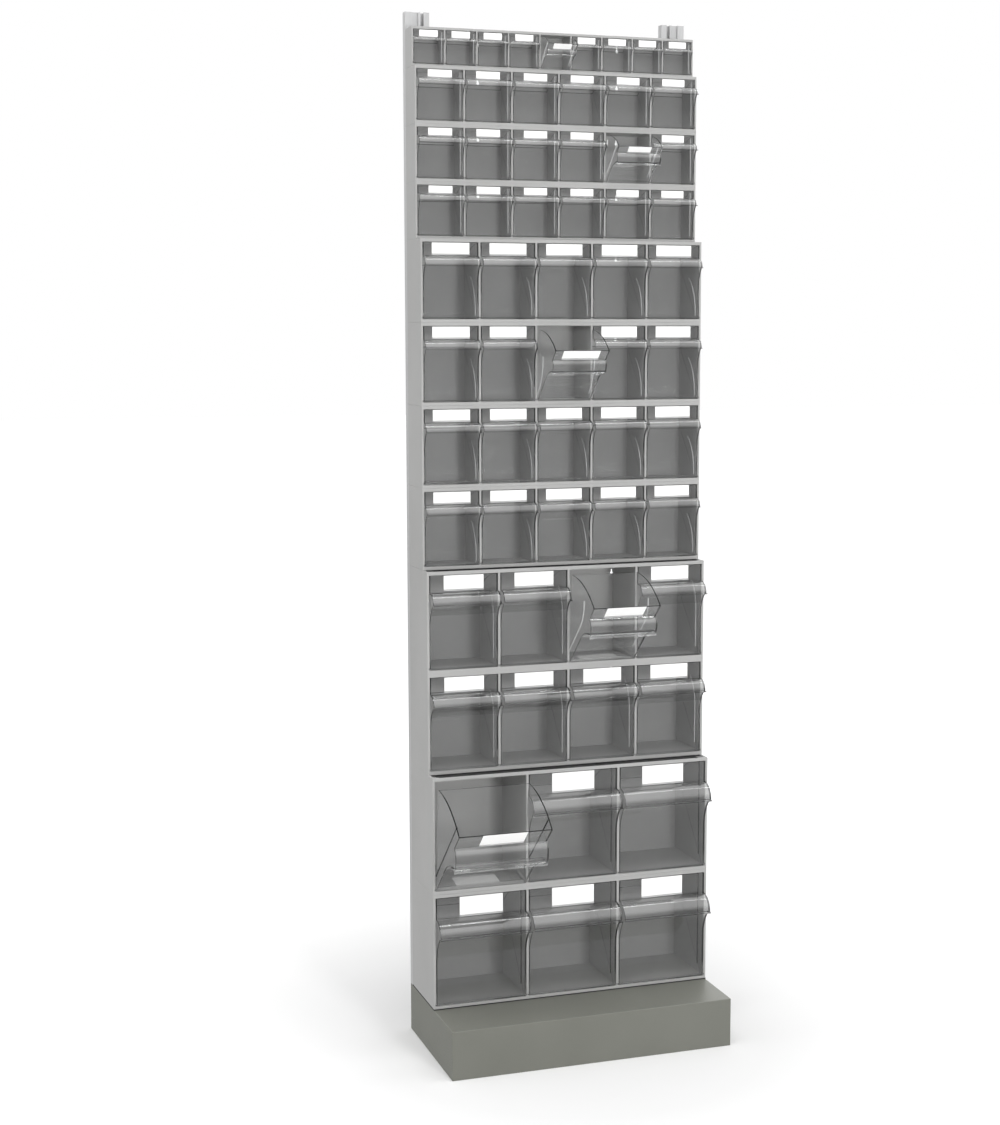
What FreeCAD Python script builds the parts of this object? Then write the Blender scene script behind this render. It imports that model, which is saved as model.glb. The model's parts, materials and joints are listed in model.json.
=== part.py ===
# Tall rack of tilt-out storage bins: a folded steel plinth, two extruded uprights, twelve moulded
# housings in five sizes, and sixty-one clear bins that tip forward on pegs at their lower corners.
# Millimetres. X runs to the right, the bins face -Y and +Z is up. The origin is on the floor, below
# the middle of the whole rack with the drawn bins tipped open.
import FreeCAD, Part
import os
import Sketcher

# Sizes that the whole rack shares
RACK = {
    "module_width": 600,
    "plinth_height": 100,
    "plinth_depth": 304,
    "plinth_sheet": 2,
    "plinth_return": 25,
    "upright_width": 50,
    "upright_depth": 17.5,
    "upright_rise": 35,
    "upright_skin": 2,
    "outer_flange": 14,
    "recess_width": 13.5,
    "recess_depth": 5,
    "rib_width": 4,
    "groove_width": 7,
    "groove_lip": 3,
    "groove_undercut": 2,
    "groove_depth": 11,
    "open_angle": 47,
    "back_wall": 3,
    "top_gap": 1,
    "side_gap": 0.6,
    "seat_gap": 0.6,
    "peg_gap": 0.4,
    "peg_bite": 1.2,
    "peg_snap": 0.4,
    "front_lip": 3.5,
    "lug_length": 10,
    "lug_depth": 4,
    "label_recess": 0.6,
    "keyhole_radius": 3.5,
    "keyhole_rise": 8,
}

# One column for each housing size: the housing first, then the bin that fits it
FAMILIES = ("jumbo", "large", "medium", "small", "mini")
FAMILY_SIZES = {
    "bins": (3, 4, 5, 6, 9),
    "height": (240, 206, 164, 112, 77),
    "depth": (159, 129, 101, 68, 48),
    "wall": (5, 4.5, 4, 3.5, 3),
    "bar": (7, 7, 6.5, 6, 5),
    "sill": (7, 7, 6.5, 6, 5),
    "skin": (3, 3, 3, 2.6, 2.4),
    "keyhole_x": (150, 143.5, 150, 150, 150),
    "keyhole_drop": (40, 34, 33, 21.5, 24),
    "shell": (2.4, 2.2, 2, 1.8, 1.5),
    "inset": (3.5, 3.5, 3.2, 3, 2.6),
    "heel": (3, 3, 2.8, 2.5, 2.2),
    "peg": (2, 2, 1.8, 1.6, 1.4),
    "panel": (42, 34, 25.5, 15.5, 14.2),
    "beak_out": (33, 26, 16.5, 15, 6.5),
    "beak_drop": (33, 23, 19, 14, 6.7),
    "nib_out": (5, 6, 3.5, 6, 2),
    "nib_thick": (2, 1.8, 1.6, 1.4, 1.2),
    "flare_out": (26, 21, 13.5, 13, 5.5),
    "flare_drop": (60, 46, 36, 36, 18),
    "back_gap": (16, 2, 2, 1.5, 1.2),
    "rim_back": (212, 179, 140, 91.5, 60),
    "floor_run": (7, 7, 6, 5.5, 4.5),
    "label_width": (92.5, 84, 78, 50, 43),
    "label_height": (38.5, 28.5, 22, 14.5, 11.5),
}

# Housings from the top of the rack down, and the bins shown tipped open, as (row, place from left)
ROWS = ("mini",) + ("small",) * 3 + ("medium",) * 4 + ("large",) * 2 + ("jumbo",) * 2
OPEN_BINS = {(1, 5), (3, 5), (6, 3), (9, 3), (11, 1)}
# The closed bins of these rows are kept together, one group a row
SHARED_ROWS = (1, 3)

# Straight steps that each round stretch of a bin is laid out in, and the sides of its pegs
BROW_STEPS = 5
INNER_BROW_STEPS = 2
FLARE_STEPS = 2
RIM_STEPS = 3
PEG_SIDES = 6

doc = FreeCAD.newDocument("tilt_bin_rack")
sizes = doc.addObject("Spreadsheet::Sheet", "Sizes")


def fill_sheet():
    cells = dict(RACK)
    for name, values in FAMILY_SIZES.items():
        for family, value in zip(FAMILIES, values):
            cells[f"{family}_{name}"] = value
    for row, (alias, value) in enumerate(cells.items(), start=1):
        sizes.set(f"A{row}", alias)
        sizes.set(f"B{row}", str(value))
        sizes.setAlias(f"B{row}", alias)
    doc.recompute()


# Expressions that several pieces share, so that what fits together follows the same cells


def cell(name, family=None):
    return f"Sizes.{family}_{name}" if family else f"Sizes.{name}"


def pivot_height(family):
    return f"({cell('sill', family)} + {cell('seat_gap')} + {cell('heel', family)})"


def bin_top(family):
    ceiling = f"{cell('height', family)} - {cell('bar', family)} - {cell('top_gap')}"
    return f"({ceiling} - {pivot_height(family)})"


def compartment_width(family):
    walls = f"({cell('bins', family)} + 1) * {cell('wall', family)}"
    return f"(({cell('module_width')} - {walls}) / {cell('bins', family)})"


def bin_width(family):
    return f"({compartment_width(family)} - 2 * {cell('side_gap')})"


def bin_back(family):
    behind = f"{cell('back_wall')} - {cell('back_gap', family)}"
    return f"({cell('depth', family)} - {cell('inset', family)} - {behind})"


def row_floor(row):
    below = " + ".join(cell("height", family) for family in ROWS[row:])
    return f"({cell('plinth_height')}{' + ' + below if below else ''})"


def back_plane():
    # The backs of all housings stand in one plane. The foremost point of the rack is the top front
    # corner of a jumbo bin tipped open, the rearmost is the uprights' back.
    inset = cell("inset", "jumbo")
    angle = cell("open_angle")
    corner = f"{inset} * cos({angle}) + {bin_top('jumbo')} * sin({angle})"
    reach = f"({cell('depth', 'jumbo')} - {inset} + {corner})"
    return f"(({reach} - {cell('upright_depth')}) / 2)"


# Sketches and features


def origin_plane(body, role):
    return next(plane for plane in body.Origin.OriginFeatures if plane.Role == role)


def new_sketch(body, name, role, offset=None):
    sketch = body.newObject("Sketcher::SketchObject", name)
    sketch.AttachmentSupport = (origin_plane(body, role), [""])
    sketch.MapMode = "FlatFace"
    if offset:
        sketch.setExpression("AttachmentOffset.Base.z", offset)
    return sketch


def add_loop(sketch, corners):
    # A closed loop of lines, each corner held by two distances that the sheet drives
    places = [[float(sizes.evalExpression(term)) for term in corner] for corner in corners]
    first = sketch.GeometryCount
    count = len(corners)
    for start, end in zip(places, places[1:] + places[:1]):
        sketch.addGeometry(Part.LineSegment(FreeCAD.Vector(*start, 0), FreeCAD.Vector(*end, 0)))
    for index in range(count):
        here = first + index
        following = first + (index + 1) % count
        sketch.addConstraint(Sketcher.Constraint("Coincident", here, 2, following, 1))
        for kind, term, value in zip(("DistanceX", "DistanceY"), corners[index], places[index]):
            bond = sketch.addConstraint(Sketcher.Constraint(kind, -1, 1, here, 1, value))
            sketch.setExpression(f"Constraints[{bond}]", term)


def rectangle(low_x, low_y, high_x, high_y):
    return [(low_x, low_y), (high_x, low_y), (high_x, high_y), (low_x, high_y)]


def add_pad(body, name, sketch, length, both_ways=False):
    pad = body.newObject("PartDesign::Pad", name)
    pad.Profile = sketch
    pad.setExpression("Length", length)
    pad.SideType = "Symmetric" if both_ways else "One side"
    doc.recompute()
    return pad


def add_pocket(body, name, sketch, depth, both_ways=False, reverse=False):
    before = body.Shape.Volume
    pocket = body.newObject("PartDesign::Pocket", name)
    pocket.Profile = sketch
    pocket.setExpression("Length", depth)
    pocket.SideType = "Symmetric" if both_ways else "One side"
    pocket.Reversed = reverse
    doc.recompute()
    if not body.Shape.Volume < before:
        raise RuntimeError(f"{body.Name} {name} cuts nothing")
    return pocket


def bow(start_y, start_z, run, rise, steps):
    # A round stretch that leaves its start upright and ends run and rise away from it
    radius = f"(({run})^2 + ({rise})^2) / (2 * ({run}))"
    sweep = f"2 * atan(({run}) / ({rise}))"
    stretch = []
    for step in range(1, steps + 1):
        angle = f"{sweep} * {step} / {steps}"
        out = f"{start_y} + {radius} * (1 - cos({angle}))"
        up = f"{start_z} + {radius} * sin({angle})"
        stretch.append((out, up))
    return stretch


# Bins, drawn about their pivot, with the front face towards -Y


def bin_side_terms(family):
    top = bin_top(family)
    front = f"(-{cell('inset', family)})"
    tip_z = f"({top} - {cell('panel', family)} - {cell('beak_drop', family)})"
    flare_foot = f"({tip_z} - {cell('nib_thick', family)} - {cell('flare_drop', family)})"
    back_y = bin_back(family)
    back_z = f"sqrt({cell('rim_back', family)}^2 - {back_y}^2)"
    return top, front, tip_z, flare_foot, back_y, back_z


def bin_outer_side(family):
    top, front, tip_z, flare_foot, back_y, _ = bin_side_terms(family)
    heel = cell("heel", family)
    angle = cell("open_angle")
    tip_y = f"({front} - {cell('beak_out', family)})"
    nib_y = f"({tip_y} - {cell('nib_out', family)})"
    nib_z = f"({tip_z} - {cell('nib_thick', family)})"
    # The heel is cut back at the opening angle: tipped open, that flat comes down on the sill
    heel_z = f"((-{front} * sin({angle}) - {heel}) / cos({angle}))"
    corners = [(f"-{heel} * tan({angle} / 2)", f"-{heel}"), (front, heel_z), (front, flare_foot)]
    outward = f"-{cell('flare_out', family)}"
    corners += bow(front, flare_foot, outward, cell("flare_drop", family), FLARE_STEPS)
    corners += [(nib_y, nib_z), (nib_y, tip_z), (tip_y, tip_z)]
    corners += bow(tip_y, tip_z, cell("beak_out", family), cell("beak_drop", family), BROW_STEPS)
    corners.append((front, top))
    # The side walls' rim swings back round the pivot and comes in a little on the way, so that
    # the tipping bin clears the bar above it
    rim_back = cell("rim_back", family)
    sweep = f"asin({back_y} / {rim_back})"
    for step in range(1, RIM_STEPS + 1):
        radius = f"({top} + ({rim_back} - {top}) * {step} / {RIM_STEPS})"
        turn = f"{sweep} * {step} / {RIM_STEPS}"
        corners.append((f"{radius} * sin({turn})", f"{radius} * cos({turn})"))
    corners.append((cell("floor_run", family), f"-{heel}"))
    return corners


def bin_inner_side(family):
    top, front, tip_z, flare_foot, back_y, back_z = bin_side_terms(family)
    shell = cell("shell", family)
    heel = cell("heel", family)
    inner_front = f"({front} + {shell})"
    floor_z = f"(-{heel} + {shell})"
    # The brow's inside stands half as far again from its outside as the shell is thick, and a flat
    # ledge over the nib joins it to the flare
    bulge = f"({cell('beak_out', family)} - {shell} / 2)"
    inner_tip_y = f"({inner_front} - {bulge})"
    inner_rise = f"({tip_z} - {flare_foot})"
    brow_rise = f"({cell('beak_drop', family)} - {shell})"
    run = cell("floor_run", family)
    lean = f"(({back_y} - {run}) / ({back_z} + {heel}))"
    inset_back = f"{shell} * sqrt(1 + {lean}^2)"
    mouth_z = f"({top} + {shell})"
    corners = [(inner_front, floor_z), (inner_front, flare_foot)]
    corners += bow(inner_front, flare_foot, f"-{cell('flare_out', family)}", inner_rise, FLARE_STEPS)
    corners.append((inner_tip_y, tip_z))
    corners += bow(inner_tip_y, tip_z, bulge, brow_rise, INNER_BROW_STEPS)
    corners.append((inner_front, mouth_z))
    for level in (mouth_z, floor_z):
        corners.append((f"{run} + {lean} * ({level} + {heel}) - {inset_back}", level))
    return corners


def make_bin(family):
    body = doc.addObject("PartDesign::Body", f"{family}_bin")
    width = bin_width(family)
    side = new_sketch(body, f"{family}_bin_side", "YZ_Plane")
    add_loop(side, bin_outer_side(family))
    add_pad(body, f"{family}_bin_block", side, width, both_ways=True)

    # The peg is laid through the whole bin. Hollowing the bin then leaves its two ends.
    peg = new_sketch(body, f"{family}_peg_end", "YZ_Plane")
    radius = cell("peg", family)
    turns = [360 * (step + 0.5) / PEG_SIDES for step in range(PEG_SIDES)]
    add_loop(peg, [(f"{radius} * cos({turn})", f"{radius} * sin({turn})") for turn in turns])
    reach = f"{width} + 2 * ({cell('side_gap')} + {cell('peg_bite')})"
    add_pad(body, f"{family}_pegs", peg, reach, both_ways=True)

    hollow = new_sketch(body, f"{family}_bin_hollow_side", "YZ_Plane")
    add_loop(hollow, bin_inner_side(family))
    clear = f"{width} - 2 * {cell('shell', family)}"
    add_pocket(body, f"{family}_bin_hollow", hollow, clear, both_ways=True)

    label = new_sketch(body, f"{family}_label_outline", "XZ_Plane", cell("inset", family))
    half = f"{cell('label_width', family)} / 2"
    foot = f"{bin_top(family)} - {cell('label_height', family)}"
    add_loop(label, rectangle(f"-{half}", foot, half, bin_top(family)))
    add_pocket(body, f"{family}_label_field", label, cell("label_recess"))
    return body


# Housings, drawn with the middle of the back's lower edge at their origin


def make_housing(family):
    body = doc.addObject("PartDesign::Body", f"{family}_housing")
    half = f"{cell('module_width')} / 2"
    wall = cell("wall", family)
    depth = cell("depth", family)
    height = cell("height", family)
    back = cell("back_wall")

    plan = new_sketch(body, f"{family}_plan", "XY_Plane")
    add_loop(plan, rectangle(f"-{half}", f"-{depth}", half, "0"))
    add_pad(body, f"{family}_block", plan, height)

    # One compartment, repeated across the width
    opening = new_sketch(body, f"{family}_opening", "XZ_Plane", depth)
    left = f"-{half} + {wall}"
    low = cell("sill", family)
    high = f"{height} - {cell('bar', family)}"
    add_loop(opening, rectangle(left, low, f"{left} + {compartment_width(family)}", high))
    cut = add_pocket(body, f"{family}_compartment", opening, f"{depth} - {back}")
    single = body.Shape.Volume
    spread = body.newObject("PartDesign::LinearPattern", f"{family}_compartments")
    spread.Originals = [cut]
    spread.Direction = (opening, ["H_Axis"])
    pitch = f"({compartment_width(family)} + {wall})"
    spread.setExpression("Length", f"({cell('bins', family)} - 1) * {pitch}")
    spread.setExpression("Occurrences", cell("bins", family))
    body.Tip = spread
    doc.recompute()
    if not body.Shape.Volume < single:
        raise RuntimeError(f"{family} housing has one compartment only")

    # Shallow trays above and below leave a thin ceiling and floor inside a stacking rim. The upper
    # tray keeps a lug in each front corner.
    inner = f"({half} - {wall})"
    lip_y = f"(-{depth} + {cell('front_lip')})"
    lug_x = f"({inner} - {cell('lug_length')})"
    lug_y = f"({lip_y} + {cell('lug_depth')})"
    tray = [(f"-{inner}", f"-{back}"), (f"-{inner}", lug_y), (f"-{lug_x}", lug_y), (f"-{lug_x}", lip_y)]
    tray += [(lug_x, lip_y), (lug_x, lug_y), (inner, lug_y), (inner, f"-{back}")]
    upper = new_sketch(body, f"{family}_upper_tray_plan", "XY_Plane", height)
    add_loop(upper, tray)
    add_pocket(body, f"{family}_upper_tray", upper, f"{cell('bar', family)} - {cell('skin', family)}")
    lower = new_sketch(body, f"{family}_lower_tray_plan", "XY_Plane")
    add_loop(lower, rectangle(f"-{inner}", lip_y, inner, f"-{back}"))
    lower_depth = f"{cell('sill', family)} - {cell('skin', family)}"
    add_pocket(body, f"{family}_lower_tray", lower, lower_depth, reverse=True)

    # Peg seats: a slot through every divider, open to the front. It narrows towards its mouth, so
    # that a peg snaps past the mouth and turns freely behind it.
    pivot_z = pivot_height(family)
    mouth = f"({cell('peg', family)} - {cell('peg_snap')})"
    widening = f"(({cell('peg_snap')} + 1.1 * {cell('peg_gap')}) / {cell('inset', family)})"
    run = f"({cell('inset', family)} + {cell('peg', family)} + {cell('peg_gap')})"
    seat = f"({mouth} + {widening} * {run})"
    slot = [(f"-{depth}", f"{pivot_z} - {mouth}"), (f"-{depth} + {run}", f"{pivot_z} - {seat}")]
    slot += [(f"-{depth} + {run}", f"{pivot_z} + {seat}"), (f"-{depth}", f"{pivot_z} + {mouth}")]
    seats = new_sketch(body, f"{family}_peg_seat_side", "YZ_Plane")
    add_loop(seats, slot)
    across = f"{cell('module_width')} - 2 * ({wall} - {cell('peg_bite')} - {cell('peg_gap')})"
    add_pocket(body, f"{family}_peg_seats", seats, across, both_ways=True)

    # Hanging keyholes through the back: a round mouth with a narrow slot above it
    keyholes = new_sketch(body, f"{family}_keyhole_outline", "XZ_Plane")
    radius = cell("keyhole_radius")
    top_z = f"{height} - {cell('keyhole_drop', family)}"
    for side in (-1, 1):
        middle = f"{side} * {cell('keyhole_x', family)}"
        turns = [120 + 60 * step for step in range(6)]
        mouth = []
        for turn in turns:
            mouth.append((f"{middle} + {radius} * cos({turn})", f"{top_z} + {radius} * sin({turn})"))
        slot_x = f"{radius} / 2"
        slot_z = f"{top_z} + {cell('keyhole_rise')}"
        add_loop(keyholes, mouth + [(f"{middle} + {slot_x}", slot_z), (f"{middle} - {slot_x}", slot_z)])
    add_pocket(body, f"{family}_keyholes", keyholes, back, reverse=True)
    return body


# Uprights and plinth


def make_upright(name, side):
    # The section is drawn from the rack's outer edge inwards, its front in the housings' back plane
    body = doc.addObject("PartDesign::Body", name)
    flange = cell("outer_flange")
    recess = f"({flange} + {cell('recess_width')})"
    rib = f"({recess} + {cell('rib_width')})"
    groove = f"({rib} + {cell('groove_width')})"
    wide = cell("upright_width")
    deep = cell("upright_depth")
    skin = cell("upright_skin")
    lip = cell("groove_lip")
    under = cell("groove_undercut")
    bottom = cell("groove_depth")
    shelf = cell("recess_depth")
    section = [("0", "0"), (flange, "0"), (flange, shelf), (recess, shelf), (recess, "0"), (rib, "0")]
    section += [(rib, lip), (f"{rib} - {under}", lip), (f"{rib} - {under}", bottom)]
    section += [(f"{groove} + {under}", bottom), (f"{groove} + {under}", lip), (groove, lip)]
    section += [(groove, "0"), (wide, "0"), (wide, deep), ("0", deep)]
    chamber_end = f"{rib} - {under} - {skin}"
    chamber = [(skin, skin), (f"{flange} - {skin}", skin), (f"{flange} - {skin}", f"{shelf} + {skin}")]
    chamber += [(chamber_end, f"{shelf} + {skin}"), (chamber_end, f"{deep} - {skin}")]
    chamber.append((skin, f"{deep} - {skin}"))
    edge = f"{side} * {cell('module_width')} / 2"
    profile = new_sketch(body, f"{name}_section", "XY_Plane")
    for loop in (section, chamber):
        add_loop(profile, [(f"{edge} - {side} * ({inward})", backward) for inward, backward in loop])
    stack = f"{row_floor(0)} - {cell('plinth_height')}"
    add_pad(body, f"{name}_length", profile, f"{stack} + {cell('upright_rise')}")
    body.setExpression("Placement.Base.y", back_plane())
    body.setExpression("Placement.Base.z", cell("plinth_height"))
    return body


def add_box(name, margin, low, high):
    # A box over the plinth's footprint, drawn in by the margin, from one height to another
    box = doc.addObject("Part::Box", name)
    box.setExpression("Length", f"{cell('module_width')} - 2 * {margin}")
    box.setExpression("Width", f"{cell('plinth_depth')} - 2 * {margin}")
    box.setExpression("Height", f"{high} - {low}")
    box.setExpression("Placement.Base.x", f"{margin} - {cell('module_width')} / 2")
    rear = f"{back_plane()} + {cell('upright_depth')}"
    box.setExpression("Placement.Base.y", f"{rear} - {cell('plinth_depth')} + {margin}")
    box.setExpression("Placement.Base.z", low)
    return box


def add_cut(name, base, tool):
    cut = doc.addObject("Part::Cut", name)
    cut.Base = base
    cut.Tool = tool
    return cut


def make_plinth():
    # Folded sheet, open below inside a return flange that stands on the floor
    sheet = cell("plinth_sheet")
    top = cell("plinth_height")
    outside = add_box("plinth_outside", "0", "0", top)
    inside = add_box("plinth_inside", sheet, sheet, f"{top} - {sheet}")
    mouth = add_box("plinth_mouth", cell("plinth_return"), "0", sheet)
    folded = add_cut("plinth_folded", outside, inside)
    return add_cut("plinth", folded, mouth)


# Placed copies


def place_copy(name, master, x, y, z, angle=None):
    copy = doc.addObject("Part::Compound", name)
    copy.Links = [master]
    turned = FreeCAD.Rotation(FreeCAD.Vector(1, 0, 0), 1 if angle else 0)
    copy.Placement = FreeCAD.Placement(FreeCAD.Vector(), turned)
    for axis, term in zip("xyz", (x, y, z)):
        copy.setExpression(f"Placement.Base.{axis}", term)
    if angle:
        copy.setExpression("Placement.Rotation.Angle", angle)
    return copy


def group(name, copies):
    together = doc.addObject("Part::Compound", name)
    together.Links = copies
    return together


def place_bin(row, place, master):
    family = ROWS[row - 1]
    pitch = f"({compartment_width(family)} + {cell('wall', family)})"
    first = f"(-{cell('module_width')} / 2 + {cell('wall', family)} + {compartment_width(family)} / 2)"
    x = f"{first} + {place - 1} * {pitch}"
    y = f"{back_plane()} - {cell('depth', family)} + {cell('inset', family)}"
    z = f"{row_floor(row)} + {pivot_height(family)}"
    angle = cell("open_angle") if (row, place) in OPEN_BINS else None
    return place_copy(f"row_{row:02d}_bin_{place}", master, x, y, z, angle)


fill_sheet()
housings = {family: make_housing(family) for family in FAMILIES}
bins = {family: make_bin(family) for family in FAMILIES}
nodes = [make_plinth(), make_upright("upright_left", -1), make_upright("upright_right", 1)]

for family in FAMILIES:
    rows = [row for row, kind in enumerate(ROWS, start=1) if kind == family]
    copies = []
    for row in rows:
        name = f"row_{row:02d}_housing"
        copies.append(place_copy(name, housings[family], "0", back_plane(), row_floor(row)))
    nodes.append(group(f"{family}_housings", copies))

for row, family in enumerate(ROWS, start=1):
    count = FAMILY_SIZES["bins"][FAMILIES.index(family)]
    placed = {place: place_bin(row, place, bins[family]) for place in range(1, count + 1)}
    if row in SHARED_ROWS:
        nodes += [copy for place, copy in placed.items() if (row, place) in OPEN_BINS]
        closed = [copy for place, copy in placed.items() if (row, place) not in OPEN_BINS]
        nodes.append(group(f"row_{row:02d}_closed_bins", closed))
    else:
        nodes += placed.values()

doc.recompute()
for thing in doc.Objects:
    if "Invalid" in thing.State or "Error" in thing.State:
        raise RuntimeError(f"{thing.Name} did not build: {thing.State}")
for node in nodes:
    if node.Shape.isNull() or not node.Shape.isValid():
        raise RuntimeError(f"{node.Label} has no valid shape")

os.makedirs("parts", exist_ok=True)
for node in nodes:
    node.Shape.exportStep(f"parts/{node.Label}.step")
print(f"{len(nodes)} nodes, {sum(len(node.Shape.Solids) for node in nodes)} solids")
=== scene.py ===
import bpy
import bmesh
import json
import math
from mathutils import Matrix, Vector

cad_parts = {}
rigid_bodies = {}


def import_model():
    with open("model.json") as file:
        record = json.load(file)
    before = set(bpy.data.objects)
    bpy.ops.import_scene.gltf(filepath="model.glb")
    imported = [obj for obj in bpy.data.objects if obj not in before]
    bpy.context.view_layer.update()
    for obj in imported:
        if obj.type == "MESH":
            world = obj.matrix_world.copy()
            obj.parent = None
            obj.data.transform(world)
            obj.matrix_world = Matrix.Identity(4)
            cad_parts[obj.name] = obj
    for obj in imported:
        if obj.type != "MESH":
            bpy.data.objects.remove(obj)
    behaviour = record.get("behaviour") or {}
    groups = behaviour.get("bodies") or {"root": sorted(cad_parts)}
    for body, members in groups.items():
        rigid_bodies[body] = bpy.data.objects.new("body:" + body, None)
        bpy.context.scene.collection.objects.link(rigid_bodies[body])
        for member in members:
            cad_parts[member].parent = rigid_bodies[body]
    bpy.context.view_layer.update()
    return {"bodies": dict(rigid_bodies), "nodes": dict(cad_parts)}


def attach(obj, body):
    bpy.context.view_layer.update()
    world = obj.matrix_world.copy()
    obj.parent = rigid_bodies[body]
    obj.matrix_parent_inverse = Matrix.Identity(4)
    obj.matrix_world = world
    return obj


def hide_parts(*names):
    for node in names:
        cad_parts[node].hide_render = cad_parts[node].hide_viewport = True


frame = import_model()
scene = bpy.context.scene
mm = 0.001


# Small helpers for node trees and meshes


def addNode(tree, kind, **values):
    node = tree.nodes.new(kind)
    for name, value in values.items():
        setattr(node, name, value)
    return node


def wire(tree, *ends):
    for source, target in zip(ends[::2], ends[1::2]):
        tree.links.new(source, target)


def mixColours(tree, factor, first, second):
    mix = addNode(tree, "ShaderNodeMix", data_type="RGBA")
    mix.inputs["A"].default_value = (*first, 1)
    mix.inputs["B"].default_value = (*second, 1)
    wire(tree, factor, mix.inputs["Factor"])
    return mix.outputs["Result"]


def remap(tree, value, wanted, given=(0.0, 1.0), kind="LINEAR"):
    spread = addNode(tree, "ShaderNodeMapRange", interpolation_type=kind)
    for side, ends in (("From", given), ("To", wanted)):
        spread.inputs[f"{side} Min"].default_value, spread.inputs[f"{side} Max"].default_value = ends
    wire(tree, value, spread.inputs["Value"])
    return spread.outputs["Result"]


def calculate(tree, operation, first, second):
    # A sum on two values, each a socket or a number
    made = addNode(tree, "ShaderNodeMath", operation=operation)
    for value, socket in ((first, made.inputs[0]), (second, made.inputs[1])):
        if isinstance(value, float):
            socket.default_value = value
        else:
            wire(tree, value, socket)
    return made.outputs[0]


def eitherRay(tree, *names):
    # 1 for rays of any of these kinds
    rays = addNode(tree, "ShaderNodeLightPath")
    either = rays.outputs[names[0]]
    for name in names[1:]:
        either = calculate(tree, "MAXIMUM", either, rays.outputs[name])
    return either


def newMaterial(name):
    material = bpy.data.materials.new(name)
    material.use_nodes = True
    tree = material.node_tree
    return material, tree, tree.nodes["Principled BSDF"], tree.nodes["Material Output"]


def newObject(name, mesh):
    made = bpy.data.objects.new(name, mesh)
    scene.collection.objects.link(made)
    return made


def meshFrom(shape, name, *finishes):
    mesh = bpy.data.meshes.new(name)
    shape.to_mesh(mesh)
    shape.free()
    for finish in finishes:
        mesh.materials.append(finish)
    return mesh


def addBar(shape, ends, depths, heights, finish=0):
    for vert in bmesh.ops.create_cube(shape, size=1.0)["verts"]:
        x, y, z = vert.co
        vert.co = Vector((ends[x > 0], depths[y > 0], heights[z > 0])) * mm
        for face in vert.link_faces:
            face.material_index = finish


def bakeModifiers(made):
    # The evaluated shape becomes the object's own mesh, and the modifiers go
    graph = bpy.context.evaluated_depsgraph_get()
    mesh = bpy.data.meshes.new_from_object(made.evaluated_get(graph))
    made.modifiers.clear()
    made.data = mesh
    mesh.name = made.name
    return made


def roundEdges(made, width, segments=2, angle=30, finish=-1):
    # finish is the material slot of the rounded edges, or -1 for that of the faces beside them
    made.data.shade_smooth()
    bevel = made.modifiers.new("edges", "BEVEL")
    bevel.material = finish
    bevel.width = width
    bevel.segments = segments
    bevel.limit_method = "ANGLE"
    bevel.angle_limit = math.radians(angle)
    bevel.miter_outer = "MITER_ARC"
    bevel.harden_normals = True
    return bakeModifiers(made)


def joinMeshes(name, copies):
    # Several placed copies of a mesh as one mesh
    joined = bmesh.new()
    for mesh, place in copies:
        copy = mesh.copy()
        copy.transform(place)
        joined.from_mesh(copy)
        bpy.data.meshes.remove(copy)
    return meshFrom(joined, name, *copies[0][0].materials)


# Finishes

grainSizes = {
    "grainScale": 900.0, "patchScale": 6.0, "grainDetail": 3.0, "patchDetail": 4.0, "levels": (0.3, 0.7),
}
grainGroup = bpy.data.node_groups.new("surfaceGrain", "ShaderNodeTree")


def buildGrain(tree):
    # Fine moulding grain and broad uneven patches, both from 0 to 1
    sockets = (
        ("Grain Scale", "NodeSocketFloat", grainSizes["grainScale"]),
        ("Patch Scale", "NodeSocketFloat", grainSizes["patchScale"]),
        ("Stretch", "NodeSocketVector", (1, 1, 1)),
    )
    for name, kind, value in sockets:
        tree.interface.new_socket(name, in_out="INPUT", socket_type=kind).default_value = value
    for name in ("Grain", "Patches"):
        tree.interface.new_socket(name, in_out="OUTPUT", socket_type="NodeSocketFloat")
    given = addNode(tree, "NodeGroupInput")
    put = addNode(tree, "NodeGroupOutput")
    place = addNode(tree, "ShaderNodeTexCoord")
    stretched = addNode(tree, "ShaderNodeVectorMath", operation="MULTIPLY")
    wire(tree, place.outputs["Object"], stretched.inputs[0], given.outputs["Stretch"], stretched.inputs[1])
    noises = (("Grain", "Grain Scale", "grainDetail"), ("Patches", "Patch Scale", "patchDetail"))
    for name, scale, detail in noises:
        noise = addNode(tree, "ShaderNodeTexNoise")
        noise.inputs["Detail"].default_value = grainSizes[detail]
        wire(tree, stretched.outputs[0], noise.inputs["Vector"], given.outputs[scale], noise.inputs["Scale"])
        wire(tree, remap(tree, noise.outputs[0], (0.0, 1.0), grainSizes["levels"]), put.inputs[name])


buildGrain(grainGroup)


def grainedFinish(name, look):
    material, tree, shader, _ = newMaterial(name)
    grain = addNode(tree, "ShaderNodeGroup", node_tree=grainGroup)
    grain.inputs["Grain Scale"].default_value = look["grainScale"]
    grain.inputs["Patch Scale"].default_value = look["patchScale"]
    grain.inputs["Stretch"].default_value = look.get("stretch", (1, 1, 1))
    colour = mixColours(tree, grain.outputs["Patches"], look["dark"], look["light"])
    bump = addNode(tree, "ShaderNodeBump")
    bump.inputs["Strength"].default_value = look["bump"]
    bump.inputs["Distance"].default_value = look["bumpDepth"]
    wire(tree, colour, shader.inputs["Base Color"])
    wire(tree, remap(tree, grain.outputs["Grain"], look["roughness"]), shader.inputs["Roughness"])
    wire(tree, grain.outputs["Grain"], bump.inputs["Height"])
    wire(tree, bump.outputs["Normal"], shader.inputs["Normal"])
    shader.inputs["Metallic"].default_value = look.get("metallic", 0.0)
    return material


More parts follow.
